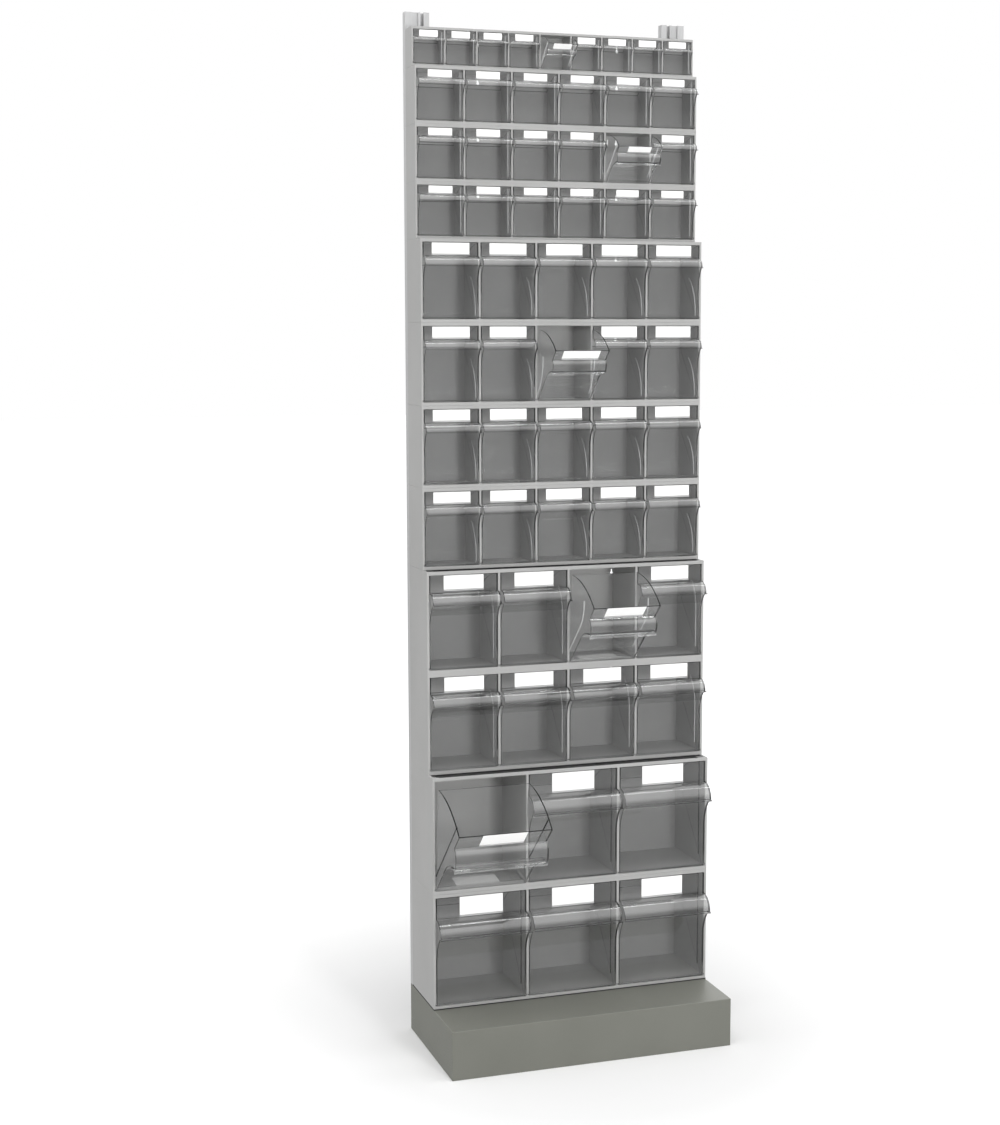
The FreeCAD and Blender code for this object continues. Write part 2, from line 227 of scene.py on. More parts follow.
housingLook = {
    "dark": (0.375, 0.375, 0.37), "light": (0.41, 0.41, 0.405), "roughness": (0.42, 0.54),
    "grainScale": 1100.0, "patchScale": 5.0, "bump": 0.25, "bumpDepth": 0.0001,
}
plinthLook = {
    "dark": (0.164, 0.167, 0.145), "light": (0.18, 0.183, 0.16), "roughness": (0.36, 0.5),
    "grainScale": 420.0, "patchScale": 7.0, "bump": 0.3, "bumpDepth": 0.0002,
}
uprightLook = {
    "dark": (0.5, 0.502, 0.505), "light": (0.57, 0.572, 0.575), "roughness": (0.38, 0.5), "metallic": 0.3,
    "grainScale": 700.0, "patchScale": 60.0, "stretch": (1, 1, 0.012), "bump": 0.2, "bumpDepth": 0.00005,
}
cardLook = {
    "dark": (0.955, 0.955, 0.95), "light": (0.975, 0.975, 0.97), "roughness": (0.75, 0.9),
    "grainScale": 1600.0, "patchScale": 60.0, "bump": 0.1, "bumpDepth": 0.00002,
}
screwLook = {
    "dark": (0.55, 0.55, 0.54), "light": (0.68, 0.68, 0.66), "roughness": (0.28, 0.42), "metallic": 1.0,
    "grainScale": 900.0, "patchScale": 90.0, "bump": 0.15, "bumpDepth": 0.00005,
}
paintedShadeLook = {
    "dark": (0.012, 0.012, 0.012), "light": (0.02, 0.02, 0.02), "roughness": (0.7, 0.85),
    "grainScale": 800.0, "patchScale": 30.0, "bump": 0.3, "bumpDepth": 0.0001,
}
housingPlastic = grainedFinish("housingPlastic", housingLook)
plinthPaint = grainedFinish("plinthPaint", plinthLook)
uprightMetal = grainedFinish("uprightMetal", uprightLook)
cardPaper = grainedFinish("cardPaper", cardLook)
screwSteel = grainedFinish("screwSteel", screwLook)

clearLook = {
    "dark": (0.95, 0.953, 0.953), "light": (0.97, 0.973, 0.973), "roughness": (0.01, 0.04),
    "grainScale": 260.0, "patchScale": 14.0, "bump": 0.01, "bumpDepth": 0.0002,
    "bend": 1.08, "lampTint": (0.9, 0.9, 0.9), "clear": 0.98,
    "gloss": 0.0, "glossBend": 1.8, "glossRough": 0.03,
}
frontLook = dict(  # only the moulded front is polished
    clearLook, dark=(0.79, 0.795, 0.795), light=(0.83, 0.835, 0.835), lampTint=(0.85, 0.85, 0.85),
    clear=1.0, gloss=1.0,
)
panelLook = dict(frontLook, dark=(0.87, 0.875, 0.875), light=(0.91, 0.915, 0.915), clear=0.96)
nibShadowLook = dict(frontLook, dark=(0.54, 0.545, 0.545), light=(0.58, 0.585, 0.585))
lipLook = dict(clearLook, dark=(0.74, 0.745, 0.745), light=(0.82, 0.825, 0.825), clear=0.45)
edgeShadeLook = dict(clearLook, dark=(0.34, 0.345, 0.345), light=(0.42, 0.425, 0.425), clear=1.0)
rimShadeLook = dict(clearLook, dark=(0.02, 0.021, 0.021), light=(0.045, 0.046, 0.046))


def clearFinish(name, look):
    # Clear plastic. Lamp light passes straight through it, so that the compartments are lit.
    material = grainedFinish(name, look)
    tree = material.node_tree
    shader = tree.nodes["Principled BSDF"]
    values = {
        "Transmission Weight": "clear", "IOR": "bend",
        "Coat Weight": "gloss", "Coat IOR": "glossBend", "Coat Roughness": "glossRough",
    }
    for socket, key in values.items():
        shader.inputs[socket].default_value = look[key]
    through = addNode(tree, "ShaderNodeBsdfTransparent")
    through.inputs["Color"].default_value = (*look["lampTint"], 1)
    mix = addNode(tree, "ShaderNodeMixShader")
    lampRay = eitherRay(tree, "Is Shadow Ray", "Is Diffuse Ray")
    wire(tree, lampRay, mix.inputs[0], shader.outputs[0], mix.inputs[1], through.outputs[0], mix.inputs[2])
    wire(tree, mix.outputs[0], tree.nodes["Material Output"].inputs["Surface"])
    return material


clearPlastic = clearFinish("clearPlastic", clearLook)
clearFront = clearFinish("clearFront", frontLook)
clearPanel = clearFinish("clearPanel", panelLook)  # the panels beside a label are a little hazy
clearNibShadow = clearFinish("clearNibShadow", nibShadowLook)  # painted shade: a darker band under the nib of the large bins
clearLip = clearFinish("clearLip", lipLook)  # lips and most ribs are pale and partly diffuse; on the lip this paleness is a painted highlight
clearEdgeShade = clearFinish("clearEdgeShade", edgeShadeLook)  # painted shade: a clear sheet's edges are tinted dark for the dark lines refraction draws along them, and darkest where it is seen edge on
clearRimShade = clearFinish("clearRimShade", rimShadeLook)  # and most where it is seen edge on
# Near-black finish of painted shade, for the ledge strips and the bead above the plinth
paintedShadeBlack = grainedFinish("paintedShadeBlack", paintedShadeLook)
print("finishes ready")


# Sizes of the stack, in millimetres

rackSizes = {
    "halfWidth": 300.0, "backPlane": 151.154, "backWall": 3.0, "uprightDepth": 17.5, "top": 2061.0,
    "openAngle": 47.0, "sideGap": 0.6, "pegBite": 1.2,
}
stack = (  # family and floor height of each row, from the top down
    ("mini", 1984), ("small", 1872), ("small", 1760), ("small", 1648), ("medium", 1484), ("medium", 1320),
    ("medium", 1156), ("medium", 992), ("large", 786), ("large", 580), ("jumbo", 340), ("jumbo", 100),
)
openBins = {(1, 5), (3, 5), (6, 3), (9, 3), (11, 1)}
binSizes = {
    "jumbo": {
        "count": 3, "depth": 159.0, "wall": 5.0, "pivot": 10.6, "top": 221.4, "shell": 2.4, "inset": 3.5,
        "heel": 3.0, "peg": 2.0, "panel": 42.0, "browOut": 33.0, "browDrop": 33.0, "nibOut": 5.0,
        "nibThick": 2.0, "flareOut": 26.0, "flareDrop": 60.0, "backGap": 16.0, "rimBack": 212.0,
        "floorRun": 7.0, "label": (92.5, 38.5), "keyhole": 150.0, "ribBack": 20.0, "shadeSteps": 0,
        "ribBend": 0.0, "ribDrop": 0.0, "ribDark": True,
    },
    "large": {
        "count": 4, "depth": 129.0, "wall": 4.5, "pivot": 10.6, "top": 187.4, "shell": 2.2, "inset": 3.5,
        "heel": 3.0, "peg": 2.0, "panel": 34.0, "browOut": 26.0, "browDrop": 23.0, "nibOut": 6.0,
        "nibThick": 1.8, "flareOut": 21.0, "flareDrop": 46.0, "backGap": 2.0, "rimBack": 179.0,
        "floorRun": 7.0, "label": (84.0, 28.5), "keyhole": 143.5, "ribBack": 17.0, "shadeSteps": 4,
        "ribBend": 70.0, "ribDrop": 34.0, "ribDark": False,
    },
    "medium": {
        "count": 5, "depth": 101.0, "wall": 4.0, "pivot": 9.9, "top": 146.6, "shell": 2.0, "inset": 3.2,
        "heel": 2.8, "peg": 1.8, "panel": 25.5, "browOut": 16.5, "browDrop": 19.0, "nibOut": 3.5,
        "nibThick": 1.6, "flareOut": 13.5, "flareDrop": 36.0, "backGap": 2.0, "rimBack": 140.0,
        "floorRun": 6.0, "label": (78.0, 22.0), "keyhole": 150.0, "ribBack": 9.0, "shadeSteps": 0,
        "ribBend": 91.0, "ribDrop": 62.0, "ribDark": False,
    },
    "small": {
        "count": 6, "depth": 68.0, "wall": 3.5, "pivot": 9.1, "top": 95.9, "shell": 1.8, "inset": 3.0,
        "heel": 2.5, "peg": 1.6, "panel": 15.5, "browOut": 15.0, "browDrop": 14.0, "nibOut": 6.0,
        "nibThick": 1.4, "flareOut": 13.0, "flareDrop": 36.0, "backGap": 1.5, "rimBack": 91.5,
        "floorRun": 5.5, "label": (50.0, 14.5), "keyhole": 150.0, "ribBack": 9.0, "shadeSteps": 0,
        "ribBend": 0.0, "ribDrop": 0.0, "ribDark": False,
    },
    "mini": {
        "count": 9, "depth": 48.0, "wall": 3.0, "pivot": 7.8, "top": 63.2, "shell": 1.5, "inset": 2.6,
        "heel": 2.2, "peg": 1.4, "panel": 14.2, "browOut": 6.5, "browDrop": 6.7, "nibOut": 2.0,
        "nibThick": 1.2, "flareOut": 5.5, "flareDrop": 18.0, "backGap": 1.2, "rimBack": 60.0,
        "floorRun": 4.5, "label": (38.6, 13.2), "keyhole": 150.0, "ribBack": 6.0, "shadeSteps": 0,
        "ribBend": 0.0, "ribDrop": 0.0, "ribDark": False,
    },
}


def compartmentWidth(size):
    return (2 * rackSizes["halfWidth"] - size["wall"] * (size["count"] + 1)) / size["count"]


# Housings, uprights and plinth: the CAD shapes with moulded or folded edges

shellEdges = {
    "plinth": ("plinth_shell", 1.1 * mm, plinthPaint, "plinth_paint"),
    "upright_left": ("upright_left_bar", 0.25 * mm, uprightMetal, "upright_metal"),
    "upright_right": ("upright_right_bar", 0.25 * mm, uprightMetal, "upright_metal"),
    "jumbo_housings": ("jumbo_housing_bodies", 0.8 * mm, housingPlastic, "housing_plastic"),
    "large_housings": ("large_housing_bodies", 0.8 * mm, housingPlastic, "housing_plastic"),
    "medium_housings": ("medium_housing_bodies", 0.7 * mm, housingPlastic, "housing_plastic"),
    "small_housings": ("small_housing_bodies", 0.6 * mm, housingPlastic, "housing_plastic"),
    "mini_housings": ("mini_housing_bodies", 0.5 * mm, housingPlastic, "housing_plastic"),
}
mergeSizes = {"inside": 0.01, "merge": 0.002, "cut": 0.001, "flatAngle": 0.5}  # millimetres, degrees


def faceCuts(size):
    # Through the middle of each compartment and each hanging hole of a housing
    pitch = compartmentWidth(size) + size["wall"]
    middles = [(k - (size["count"] - 1) / 2) * pitch for k in range(size["count"])]
    return middles + [-size["keyhole"], size["keyhole"]]


def takeTier(shape, floors, floor):
    # Only the solid that stands on this floor. A face lies in the solid just behind it.
    away = []
    for face in shape.faces:
        z = (face.calc_center_median().z - face.normal.z * mergeSizes["inside"] * mm) / mm
        if max((f for f in floors if f <= z), default=floors[-1]) != floor:
            away.append(face)
    bmesh.ops.delete(shape, geom=away, context="FACES")


def mergeFlats(shape, cuts):
    # The CAD mesh is loose triangles, so it is merged and its flat faces are made whole. The cuts
    # keep a face with holes in it in plain strips.
    near = mergeSizes["merge"] * mm
    bmesh.ops.remove_doubles(shape, verts=shape.verts, dist=near)
    for x in cuts:
        whole = shape.verts[:] + shape.edges[:] + shape.faces[:]
        place = {"plane_co": (x * mm, 0, 0), "plane_no": (1, 0, 0)}
        bmesh.ops.bisect_plane(shape, geom=whole, dist=mergeSizes["cut"] * mm, **place)

    def onCut(edge):
        return any(all(abs(v.co.x - x * mm) < near for v in edge.verts) for x in cuts)

    loose = [edge for edge in shape.edges if not onCut(edge)]
    flat = math.radians(mergeSizes["flatAngle"])
    bmesh.ops.dissolve_limit(shape, angle_limit=flat, verts=shape.verts, edges=loose)


def flattenFaces(mesh, broad=20.0):
    # Broad faces are shaded by their own normals, so that only the rounded edges are smooth
    if "custom_normal" in mesh.attributes:
        mesh.attributes.remove(mesh.attributes["custom_normal"])
    for face in mesh.polygons:
        face.use_smooth = face.area < broad * mm * mm


def edgedCopy(node, name, width, material):
    family = node.split("_")[0]
    floors = [floor for kind, floor in stack if kind == family]
    tiers = []
    for floor in floors or [None]:
        shape = bmesh.new()
        shape.from_mesh(frame["nodes"][node].data)
        if floors:
            takeTier(shape, floors, floor)
        mergeFlats(shape, faceCuts(binSizes[family]) if floors else [])
        tier = roundEdges(newObject(f"{name}Tier", meshFrom(shape, name, material)), width)
        flattenFaces(tier.data)
        tiers.append((tier.data, Matrix.Identity(4)))
        bpy.data.objects.remove(tier)
    return newObject(name, joinMeshes(name, tiers))


for node, (name, width, material, slotName) in shellEdges.items():
    piece = edgedCopy(node, name, width, material)
    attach(piece, "rack")
    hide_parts(node)
print("fixed pieces:", len(shellEdges))


# A black strip of painted shade in the open front of a housing's upper tray, where a shallower
# housing stands on it; it stands in for the deep shade of that slot

ledgeSizes = {
    "lip": 3.5, "lug": 10.0, "thick": 1.6, "bar": 7.0, "skin": 3.0, "gap": 0.4, "lift": 0.05, "edge": 0.3,
}
ledgeRows = (9, 11)


def buildLedgeShadeStrip(row):
    size, above = binSizes[stack[row - 1][0]], binSizes[stack[row - 2][0]]
    top = stack[row - 2][1]
    front = rackSizes["backPlane"] - size["depth"] + ledgeSizes["lip"] + ledgeSizes["gap"]
    rear = rackSizes["backPlane"] - above["depth"] + ledgeSizes["lip"]
    half = rackSizes["halfWidth"] - size["wall"] - ledgeSizes["lug"] - ledgeSizes["gap"]
    low = top - ledgeSizes["bar"] + ledgeSizes["skin"] + ledgeSizes["lift"]
    shape = bmesh.new()
    addBar(shape, (-half, half), (front, rear), (low, low + ledgeSizes["thick"]))
    name = f"row_{row:02d}_ledge_shade_strip"
    return roundEdges(newObject(name, meshFrom(shape, name, paintedShadeBlack)), ledgeSizes["edge"] * mm)


for row in ledgeRows:
    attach(buildLedgeShadeStrip(row), "rack")
print("ledge strips:", len(ledgeRows))


# A dark bead of painted shade in the joint between the lowest housing and the plinth, for the thin contact
# shadow there

beadSizes = {"lift": 0.02, "height": 2.2, "outside": 0.5, "inside": 1.6, "edge": 0.2}


def buildShadeBead():
    floor, depth = stack[-1][1], binSizes[stack[-1][0]]["depth"]
    shape = bmesh.new()

    def ring(inward, rise):
        half = rackSizes["halfWidth"] - inward
        near, far = rackSizes["backPlane"] - depth + inward, rackSizes["backPlane"] - inward
        corners = ((-half, near), (half, near), (half, far), (-half, far))
        return [shape.verts.new((x * mm, y * mm, (floor + rise) * mm)) for x, y in corners]

    rises = (beadSizes["lift"], beadSizes["height"])
    outside = [ring(-beadSizes["outside"], rise) for rise in rises]
    inside = [ring(beadSizes["inside"], rise) for rise in rises]
    walls = (outside, inside[::-1], (inside[0], outside[0]), (outside[1], inside[1]))
    for k in range(4):
        for low, high in walls:
            shape.faces.new((low[k - 1], low[k], high[k], high[k - 1]))
    bmesh.ops.recalc_face_normals(shape, faces=shape.faces)
    mesh = meshFrom(shape, "plinth_shade_bead", paintedShadeBlack)
    return roundEdges(newObject("plinth_shade_bead", mesh), beadSizes["edge"] * mm)


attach(buildShadeBead(), "rack")
print("bead made")


# Tilt bins, about their pivot, front towards -Y

binDetail = {
    "browSteps": 12, "flareSteps": 8, "rimSteps": 14, "rimTries": 40, "edgeShare": 0.12, "recess": 0.8,
    "pegSides": 14, "pegSink": 0.2,
    "ribWide": 1.8, "ribOut": 1.4, "ribSink": 0.3, "ribFoot": 1.0, "ribHead": 2.0,
    "ribTurn": 50.0, "ribSteps": 6,
    "lip": 2.2, "lipShare": 0.6, "lipDrop": 0.3, "lipOut": 0.9, "lipSink": 0.2,
}


def bow(startY, startZ, run, rise, steps):
    # A round stretch that leaves its start upright and ends run and rise away from it
    radius = (run * run + rise * rise) / (2 * run)
    sweep = 2 * math.atan(run / rise)
    turns = [sweep * step / steps for step in range(1, steps + 1)]
    return [(startY + radius * (1 - math.cos(turn)), startZ + radius * math.sin(turn)) for turn in turns]


def binOutline(size):
    # Outer lines down the front, and under and up the back, the inner line, and the rim
    shell, inset, heel, top = size["shell"], size["inset"], size["heel"], size["top"]
    tilt = math.radians(rackSizes["openAngle"])
    tipZ = top - size["panel"] - size["browDrop"]
    nibZ = tipZ - size["nibThick"]
    flareFoot = nibZ - size["flareDrop"]
    tipY = -inset - size["browOut"]
    brow = bow(tipY, tipZ, size["browOut"], size["browDrop"], binDetail["browSteps"])
    flare = bow(-inset, flareFoot, -size["flareOut"], size["flareDrop"], binDetail["flareSteps"])
    backY = size["depth"] - rackSizes["backWall"] - size["backGap"] - inset
    backZ = math.sqrt(size["rimBack"] ** 2 - backY ** 2)
    front = brow[::-1] + [(tipY, tipZ), (tipY - size["nibOut"], tipZ), (tipY - size["nibOut"], nibZ)]
    front += flare[::-1] + [(-inset, flareFoot), (-inset, (inset * math.sin(tilt) - heel) / math.cos(tilt))]
    under = [(-heel * math.tan(tilt / 2), -heel), (size["floorRun"], -heel), (backY, backZ)]

    innerFront = -inset + shell
    bulge = size["browOut"] - shell / 2
    innerBrow = bow(innerFront - bulge, tipZ, bulge, size["browDrop"] - shell, binDetail["browSteps"])
    innerFlare = bow(innerFront, flareFoot, -size["flareOut"], tipZ - flareFoot, binDetail["flareSteps"])
    lean = (backY - size["floorRun"]) / (backZ + heel)
    backShift = shell * math.sqrt(1 + lean * lean)

    def innerBack(z):
        return size["floorRun"] + lean * (z + heel) - backShift

    sweep = math.asin(backY / size["rimBack"])

    def rimPoint(share):
        radius = top + (size["rimBack"] - top) * share
        return radius * math.sin(sweep * share), radius * math.cos(sweep * share)

    low, high = 0.5, 1.0
    for _ in range(binDetail["rimTries"]):  # where the inside of the back meets the rim
        share = (low + high) / 2
        y, z = rimPoint(share)
        low, high = (share, high) if y < innerBack(z) else (low, share)
    steps = binDetail["rimSteps"]
    rim = [(0.0, top)] + [rimPoint(high * step / steps) for step in range(1, steps + 1)]
    inner = [(innerFront, top)] + innerBrow[::-1] + [(innerFront - bulge, tipZ)]
    inner += innerFlare[::-1] + [(innerFront, flareFoot), (innerFront, shell - heel)]
    inner += [(innerBack(shell - heel), shell - heel), rim[-1]]
    return front, under, inner, rim


def addWallRib(shape, size, rear, ends, finish):
    # A stiffening rib up the inside of a side wall, a little behind the front. Where the bin has a
    # rib bend, the rib leans back at its top and ends lower down.
    wide, bend = binDetail["ribWide"], size["ribBend"]
    y, (backY, backZ), heel = size["ribBack"], rear, size["heel"]
    lean = (backZ + heel) / (backY - size["floorRun"])
    foot = max(lean * (y + wide - size["floorRun"]) - heel, 0.0) + binDetail["ribFoot"]
    head = math.sqrt(size["top"] ** 2 - (y + wide) ** 2) - binDetail["ribHead"]
    line = [(y, foot, 0.0), (y, head, 0.0)]
    if bend:
        steps = binDetail["ribSteps"]
        turns = [math.radians(binDetail["ribTurn"]) * step / steps for step in range(steps + 1)]
        start = head - bend * math.sin(turns[-1]) - size["ribDrop"]
        line = line[:1] + [(y + bend * (1 - math.cos(t)), start + bend * math.sin(t), t) for t in turns]
    rings = []
    for pointY, pointZ, turn in line:
        across = (wide * math.cos(turn), -wide * math.sin(turn))
        corners = [(ends[0], 0), (ends[1], 0), (ends[1], 1), (ends[0], 1)]
        rings.append([
            shape.verts.new((x * mm, (pointY + far * across[0]) * mm, (pointZ + far * across[1]) * mm))
            for x, far in corners
        ])
    faces = [shape.faces.new(rings[0]), shape.faces.new(rings[-1][::-1])]
    for low, high in zip(rings, rings[1:]):
        faces += [shape.faces.new((low[k - 1], high[k - 1], high[k], low[k])) for k in range(4)]
    for face in faces:
        face.material_index = finish
    bmesh.ops.recalc_face_normals(shape, faces=faces)


def buildBin(family):
    size = binSizes[family]
    front, under, inner, rim = binOutline(size)
    outer, rear = front + under, under[-1]
    plain, edge, polished, cut, shaded, pale, hazy = range(7)  # material slots; edge, cut and shaded carry painted shade
    inset, top, shell = size["inset"], size["top"], size["shell"]
    half = compartmentWidth(size) / 2 - rackSizes["sideGap"]
    clear = half - shell
    cardHalf, foot = size["label"][0] / 2, top - size["label"][1]
    recess = binDetail["recess"]
    shape = bmesh.new()
    known = {}

    def corner(x, point):
        key = (round(x, 4), round(point[0], 4), round(point[1], 4))
        if key not in known:
            known[key] = shape.verts.new((key[0] * mm, key[1] * mm, key[2] * mm))
        return known[key]

    def addFace(corners, finish=plain):
        loop = [c for i, c in enumerate(corners) if c is not corners[i - 1]]
        if len(loop) > 2:
            shape.faces.new(loop).material_index = finish

    def strip(line, columns, flip=False, finish=plain):
        for left, right in zip(columns, columns[1:]):
            for a, b in zip(line, line[1:]):
                quad = [corner(left, a), corner(left, b), corner(right, b), corner(right, a)]
                addFace(quad[::-1] if flip else quad, finish)

    columns = [-half, -clear, -cardHalf, cardHalf, clear, half]
    upper = [(-inset, top), (-inset, foot)]
    sunk = [(-inset + recess, top), (-inset + recess, foot), (-inset, foot)]
    nib = binDetail["browSteps"] + 3
    # The steps under the nib, in the large bins only, take the painted shade finish
    shade = nib + size["shadeSteps"]
    strip([(-inset, foot)] + front[:nib + 1], columns[1:5], finish=polished)
    strip(front[nib:shade + 1], columns[1:5], finish=shaded)
    strip(front[shade:], columns[1:5], finish=polished)
    strip([front[-1]] + under, columns[1:5])
    for ends in (columns[:2], columns[4:]):  # the side walls' own front edges
        strip(upper + front, ends, finish=polished)
        strip([front[-1]] + under, ends)
    for beside in (columns[1:3], columns[3:5]):  # the panels beside the label
        strip(upper, beside, finish=hazy)
    strip(sunk, columns[2:4], finish=polished)
    for x, turn in ((-cardHalf, 1), (cardHalf, -1)):  # the label field's two ends
        end = [corner(x, p) for p in (upper[0], sunk[0], sunk[1], upper[1])]
        addFace(end[::turn])
    strip(inner, columns[1:5], flip=True)
    # Rims of the front, the back and the two side walls, in the near-black rim finish of painted shade
    for beside in (columns[1:3], columns[3:5]):
        strip([inner[0], upper[0]], beside, finish=cut)
    strip([inner[0], sunk[0]], columns[2:4], finish=cut)
    strip([rear, rim[-1]], columns[1:5], finish=cut)
    wholeRim = [upper[0], inner[0]] + rim + [rear]
    for ends in (columns[:2], columns[4:]):
        strip(wholeRim[::-1], ends, finish=cut)
    side = upper + outer + rim[::-1] + [inner[0]]
    inside = inner[::-1] + rim[:-1]
    for x, turn in ((-half, 1), (half, -1)):
        addFace([corner(x, p) for p in side][::-turn])
    for x, turn in ((-clear, 1), (clear, -1)):
        addFace([corner(x, p) for p in inside[::-1]][::turn])
    bmesh.ops.recalc_face_normals(shape, faces=shape.faces)

    # Pivot pegs, one in each side wall
    reach, sink = rackSizes["sideGap"] + rackSizes["pegBite"], binDetail["pegSink"]
    along, radius = Matrix.Rotation(math.pi / 2, 4, "Y"), size["peg"] * mm
    for way in (-1, 1):
        middle = Matrix.Translation((way * (half + reach / 2 - sink / 2) * mm, 0, 0))
        bmesh.ops.create_cone(
            shape, cap_ends=True, segments=binDetail["pegSides"], radius1=radius, radius2=radius,
            depth=(reach + sink) * mm, matrix=middle @ along,
        )
    finishes = (clearPlastic, clearEdgeShade, clearFront, clearRimShade, clearNibShadow, clearLip, clearPanel)
    mesh = meshFrom(shape, f"{family}Bin", *finishes)
    # The rounded edges take the dark edge finish, painted shade along every edge
    made = roundEdges(newObject(f"{family}Bin", mesh), binDetail["edgeShare"] * shell * mm, finish=edge)
    mesh = made.data
    bpy.data.objects.remove(made)

    # Ribs inside the side walls and the lip under the label, with plain edges
    shape = bmesh.new()
    shape.from_mesh(mesh)
    # Ribs are pale, or on the jumbo bins near-black in the rim finish of painted shade
    ribFinish = cut if size["ribDark"] else pale
    ribEnds = (clear - binDetail["ribOut"], clear + binDetail["ribSink"])
    for way in (-1, 1):
        addWallRib(shape, size, rear, [way * end for end in ribEnds], ribFinish)
    # The lip under the label is pale, a painted highlight along it
    lip = min(binDetail["lip"], (size["panel"] - size["label"][1]) * binDetail["lipShare"])
    heights = (foot - binDetail["lipDrop"] - lip, foot - binDetail["lipDrop"])
    depths = (-inset - binDetail["lipOut"], -inset + binDetail["lipSink"])
    addBar(shape, (-cardHalf, cardHalf), depths, heights, pale)
    shape.to_mesh(mesh)
    shape.free()
    return mesh


def binPlace(row, place):
    family, floor = stack[row - 1]
    size = binSizes[family]
    width = compartmentWidth(size)
    x = -rackSizes["halfWidth"] + size["wall"] + width / 2 + (place - 1) * (width + size["wall"])
    y = rackSizes["backPlane"] - size["depth"] + size["inset"]
    tilt = rackSizes["openAngle"] if (row, place) in openBins else 0.0
    pivot = Matrix.Translation(Vector((x, y, floor + size["pivot"])) * mm)
    return pivot @ Matrix.Rotation(math.radians(tilt), 4, "X")


binMeshes = {family: buildBin(family) for family in binSizes}
binGroups = {}  # CAD node -> its bins
for row, (family, floor) in enumerate(stack, 1):
    for place in range(1, binSizes[family]["count"] + 1):
        own = f"row_{row:02d}_bin_{place}"
        node = own if own in frame["nodes"] else f"row_{row:02d}_closed_bins"
        binGroups.setdefault(node, []).append((row, place, family))
for node, bins in binGroups.items():
    shells = [(binMeshes[family], binPlace(row, place)) for row, place, family in bins]
    piece = newObject(f"{node}_shell", joinMeshes(f"{node}_shell", shells))
    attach(piece, node if node in frame["bodies"] else "rack")
    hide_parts(node)
print("bins:", sum(len(bins) for bins in binGroups.values()), "on", len(binGroups), "nodes")


# Label cards: a rounded card on each point it is given

cardSizes = {
    "margin": 0.6, "thickness": 0.35, "corner": 0.3, "cornerSteps": 4,
    "seat": 0.02, "drop": 0.1, "merge": 0.01,
}


def sizedInputs(tree, names):
    # Named number inputs, by the identifiers that a modifier needs
    tree.interface.new_socket("Geometry", in_out="INPUT", socket_type="NodeSocketGeometry")
    made = {}
    for name in names:
        socket = tree.interface.new_socket(name, in_out="INPUT", socket_type="NodeSocketFloat")
        made[name] = socket.identifier
    socket = tree.interface.new_socket("Finish", in_out="INPUT", socket_type="NodeSocketMaterial")
    made["Finish"] = socket.identifier
    tree.interface.new_socket("Geometry", in_out="OUTPUT", socket_type="NodeSocketGeometry")
    return made


def endTree(tree, given, shape, rotation):
    # A copy of the shape on each vertex, as one real mesh with its finish
    copies = addNode(tree, "GeometryNodeInstanceOnPoints")
    real = addNode(tree, "GeometryNodeRealizeInstances")
    finish = addNode(tree, "GeometryNodeSetMaterial")
    put = addNode(tree, "NodeGroupOutput")
    wire(tree, given.outputs["Geometry"], copies.inputs["Points"], shape, copies.inputs["Instance"])
    wire(tree, rotation, copies.inputs["Rotation"], copies.outputs[0], real.inputs[0])
    wire(tree, real.outputs[0], finish.inputs["Geometry"], given.outputs["Finish"], finish.inputs["Material"])
    wire(tree, finish.outputs[0], put.inputs[0])


cardTree = bpy.data.node_groups.new("labelCards", "GeometryNodeTree")
cardInputs = sizedInputs(cardTree, ("Width", "Height", "Thickness", "Corner", "Tilt"))


def buildCardTree(tree):
    given = addNode(tree, "NodeGroupInput")
    edge = addNode(tree, "GeometryNodeCurvePrimitiveQuadrilateral")
    rounded = addNode(tree, "GeometryNodeFilletCurve", mode="POLY")
    rounded.inputs["Count"].default_value = cardSizes["cornerSteps"]
    face = addNode(tree, "GeometryNodeFillCurve", mode="NGONS")
    thick = addNode(tree, "GeometryNodeExtrudeMesh")
    thick.inputs["Individual"].default_value = False
    back = addNode(tree, "GeometryNodeFlipFaces")
    both = addNode(tree, "GeometryNodeJoinGeometry")
    closed = addNode(tree, "GeometryNodeMergeByDistance")
    closed.inputs["Distance"].default_value = cardSizes["merge"] * mm
    stand = addNode(tree, "GeometryNodeTransform")
    stand.inputs["Rotation"].default_value = (math.pi / 2, 0, 0)
    turn = addNode(tree, "ShaderNodeCombineXYZ")
    rotation = addNode(tree, "FunctionNodeEulerToRotation")
    wire(tree, given.outputs["Width"], edge.inputs["Width"], given.outputs["Height"], edge.inputs["Height"])
    wire(tree, edge.outputs[0], rounded.inputs["Curve"], given.outputs["Corner"], rounded.inputs["Radius"])
    wire(tree, rounded.outputs[0], face.inputs["Curve"], face.outputs[0], thick.inputs["Mesh"])
    wire(tree, given.outputs["Thickness"], thick.inputs["Offset Scale"], face.outputs[0], back.inputs["Mesh"])
    wire(tree, back.outputs[0], both.inputs[0], thick.outputs["Mesh"], both.inputs[0])
    wire(tree, both.outputs[0], closed.inputs["Geometry"], closed.outputs[0], stand.inputs["Geometry"])
    wire(tree, given.outputs["Tilt"], turn.inputs["X"], turn.outputs[0], rotation.inputs[0])
    endTree(tree, given, stand.outputs[0], rotation.outputs[0])


buildCardTree(cardTree)


def growOnPoints(name, points, tree, values):
    mesh = bpy.data.meshes.new(name)
    mesh.from_pydata(points, [], [])
    made = newObject(name, mesh)
    grown = made.modifiers.new("grown", "NODES")
    grown.node_group = tree
    for identifier, value in values.items():
        grown[identifier] = value
    return bakeModifiers(made)


